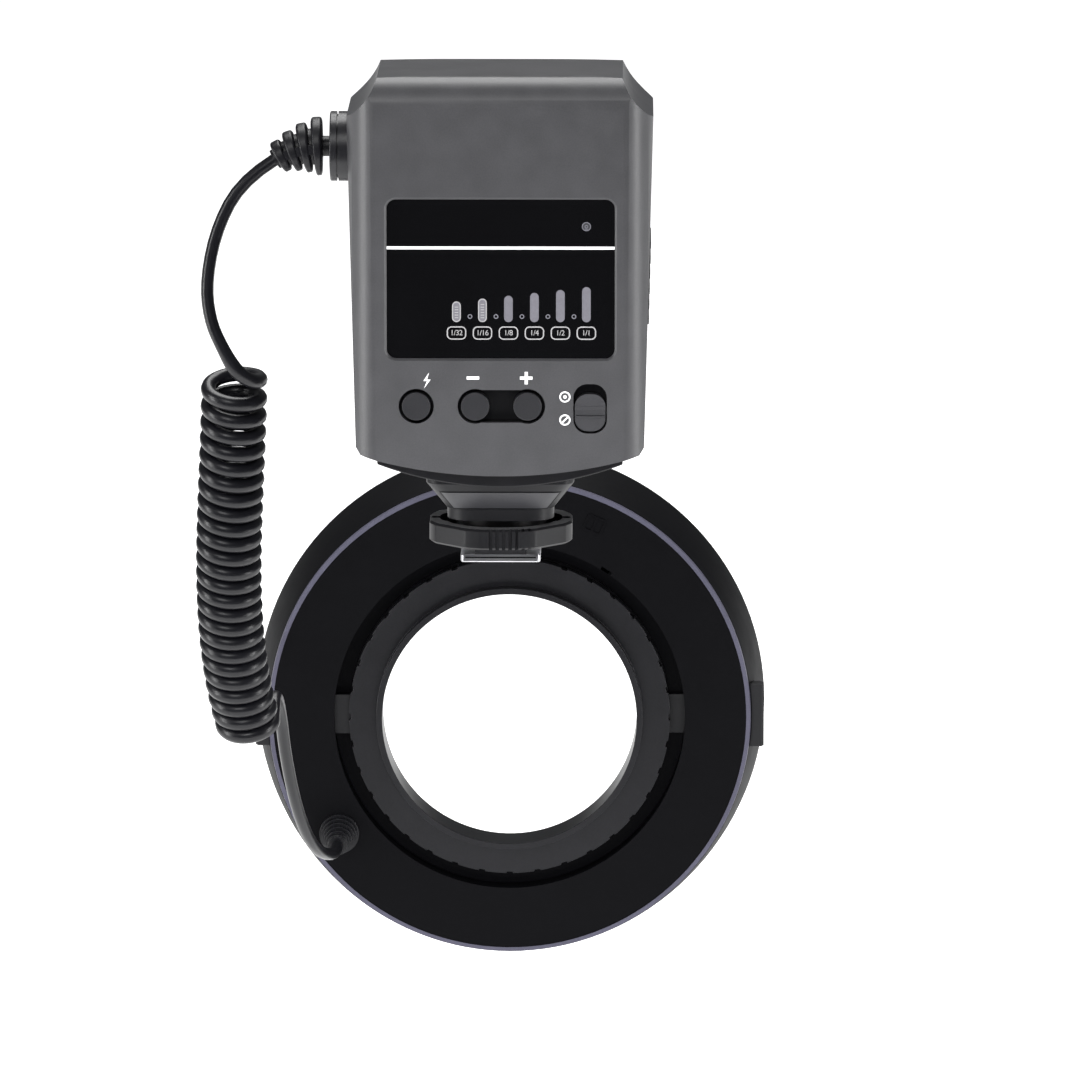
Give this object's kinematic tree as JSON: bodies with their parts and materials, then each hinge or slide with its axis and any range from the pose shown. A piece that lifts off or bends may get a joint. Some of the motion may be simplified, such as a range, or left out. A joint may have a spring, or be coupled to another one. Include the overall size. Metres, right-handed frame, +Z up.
{
  "type": "macro ring flash",
  "caption": "Macro ring flash: a controller with a shoe foot, a curly cord and a round lamp head that clips to a lens adapter ring.",
  "frame": {"origin": "centre of the underside of the shoe foot", "axes": "+Z up, viewer at -Y, subject at +Y, +X to the viewer's right; the lens axis of the lamp head runs along Y at z = -67.3 mm"},
  "size_m": [0.1375, 0.1844, 0.2474],
  "materials": {
    "casing": "fine matt moulding",
    "screw_steel": "black oxide",
    "smoked_window": "polished",
    "bar_guide": "satin",
    "pilot_guide": "satin",
    "lamp_chip": "clear over yellow",
    "circuit_board": "green laminate",
    "button": "satin",
    "guide_black": "matt",
    "key_rubber": "matt",
    "switch_body": "matt",
    "switch_knob": "satin",
    "battery_case": "matt",
    "contact_metal": "plated",
    "cell": "printed sleeve",
    "door": "fine matt moulding",
    "pin_steel": "ground",
    "capacitor": "shrink sleeve",
    "transformer": "taped winding",
    "base": "fine matt moulding",
    "stem": "matt",
    "clamp_steel": "brushed",
    "wheel": "fine matt moulding",
    "foot_metal": "bright",
    "contact_block": "matt",
    "collar": "satin",
    "nut": "matt",
    "boot_rubber": "satin",
    "cord_rubber": "satin",
    "head_casing": "matt",
    "rim_line": "satin",
    "bezel": "matt",
    "diffuser": "frosted",
    "reflector": "bright",
    "tube_glass": "clear",
    "cap_rubber": "matt",
    "holder": "matt",
    "lens_clear": "clear",
    "latch": "satin",
    "adapter_metal": "black anodised"
  },
  "bodies": {
    "root": {"rear_housing": "casing", "front_housing": "casing", "casing_screws": "screw_steel", "display_window": "smoked_window", "level_bars": "bar_guide", "pilot_lamp": "pilot_guide", "indicator_lamps": "lamp_chip", "control_board": "circuit_board", "button_guide": "guide_black", "key_pad": "key_rubber", "slide_switch_body": "switch_body", "battery_case": "battery_case", "battery_contacts": "contact_metal", "cells": "cell", "flash_capacitor": "capacitor", "main_board": "circuit_board", "transformer": "transformer", "base_plate": "base", "foot_neck": "base", "foot_stem": "stem", "shoe_foot": "foot_metal", "foot_screws": "screw_steel", "contact_block": "contact_block", "contact_spring": "pin_steel", "cord_collar": "collar", "collar_nut": "nut", "cord_boot": "boot_rubber", "head_boot": "boot_rubber", "cord_coil": "cord_rubber", "cord_upper": "cord_rubber", "cord_lower": "cord_rubber", "head_rear_housing": "head_casing", "rim_line": "rim_line", "front_bezel": "bezel", "diffuser_right": "diffuser", "diffuser_left": "diffuser", "reflector_right": "reflector", "reflector_left": "reflector", "flash_tube_right": "tube_glass", "flash_tube_left": "tube_glass", "tube_caps": "cap_rubber", "lamp_board": "circuit_board", "board_screws": "screw_steel", "focus_holders": "holder", "focus_lamps": "lamp_chip", "focus_lenses": "lens_clear"},
    "test_button": {"test_button": "button"},
    "minus_button": {"minus_button": "button"},
    "plus_button": {"plus_button": "button"},
    "switch_knob": {"switch_knob": "switch_knob"},
    "door_slider": {"door_hinge_pin": "pin_steel"},
    "door": {"battery_door": "door", "door_contacts": "contact_metal"},
    "clamp": {"clamp_plate": "clamp_steel"},
    "wheel": {"locking_wheel": "wheel"},
    "lock_pin": {"lock_pin": "pin_steel"},
    "contact_pin": {"contact_pin": "contact_metal"},
    "latch_right": {"release_latch_right": "latch"},
    "latch_left": {"release_latch_left": "latch"},
    "adapter": {"adapter_ring": "adapter_metal"}
  },
  "joints": [
    {"name": "test_press", "type": "slide", "parent": "root", "child": "test_button", "axis": [0, 1, 0], "range_m": [0, 0.0008], "stiffness_N_per_m": 800},
    {"name": "minus_press", "type": "slide", "parent": "root", "child": "minus_button", "axis": [0, 1, 0], "range_m": [0, 0.0008], "stiffness_N_per_m": 800},
    {"name": "plus_press", "type": "slide", "parent": "root", "child": "plus_button", "axis": [0, 1, 0], "range_m": [0, 0.0008], "stiffness_N_per_m": 800},
    {"name": "switch_slide", "type": "slide", "parent": "root", "child": "switch_knob", "axis": [0, 0, 1], "range_m": [0, 0.002]},
    {"name": "door_slide", "type": "slide", "parent": "root", "child": "door_slider", "axis": [-0.026, 0, -0.9997], "range_m": [0, 0.004]},
    {"name": "door_swing", "type": "hinge", "parent": "door_slider", "child": "door", "pos_m": [0.03319, 0.0019, 0.04777], "axis": [0, 1, 0], "range_deg": [0, 90]},
    {"name": "clamp_lift", "type": "slide", "parent": "root", "child": "clamp", "axis": [0, 0, 1], "range_m": [0, 0.001]},
    {"name": "wheel_turn", "type": "hinge", "parent": "clamp", "child": "wheel", "pos_m": [0, 0, 0.0066], "axis": [0, 0, 1], "range_deg": [0, 300]},
    {"name": "lock_pin_lift", "type": "slide", "parent": "root", "child": "lock_pin", "axis": [0, 0, 1], "range_m": [0, 0.0016]},
    {"name": "contact_pin_press", "type": "slide", "parent": "root", "child": "contact_pin", "axis": [0, 0, 1], "range_m": [0, 0.0005], "stiffness_N_per_m": 600, "deforming": ["contact_spring"]},
    {"name": "latch_right_press", "type": "slide", "parent": "root", "child": "latch_right", "axis": [-1, 0, 0], "range_m": [0, 0.002], "stiffness_N_per_m": 600},
    {"name": "latch_left_press", "type": "slide", "parent": "root", "child": "latch_left", "axis": [1, 0, 0], "range_m": [0, 0.002], "stiffness_N_per_m": 600},
    {"name": "adapter_turn", "type": "hinge", "parent": "root", "child": "adapter", "pos_m": [0, 0.142, -0.0673], "axis": [0, 1, 0], "continuous": true}
  ],
  "couplings": [
    {"joint": "clamp_lift", "follows": "wheel_turn", "m_per_rad": 0.0001909},
    {"joint": "lock_pin_lift", "follows": "wheel_turn", "m_per_rad": 0.0003055}
  ]
}
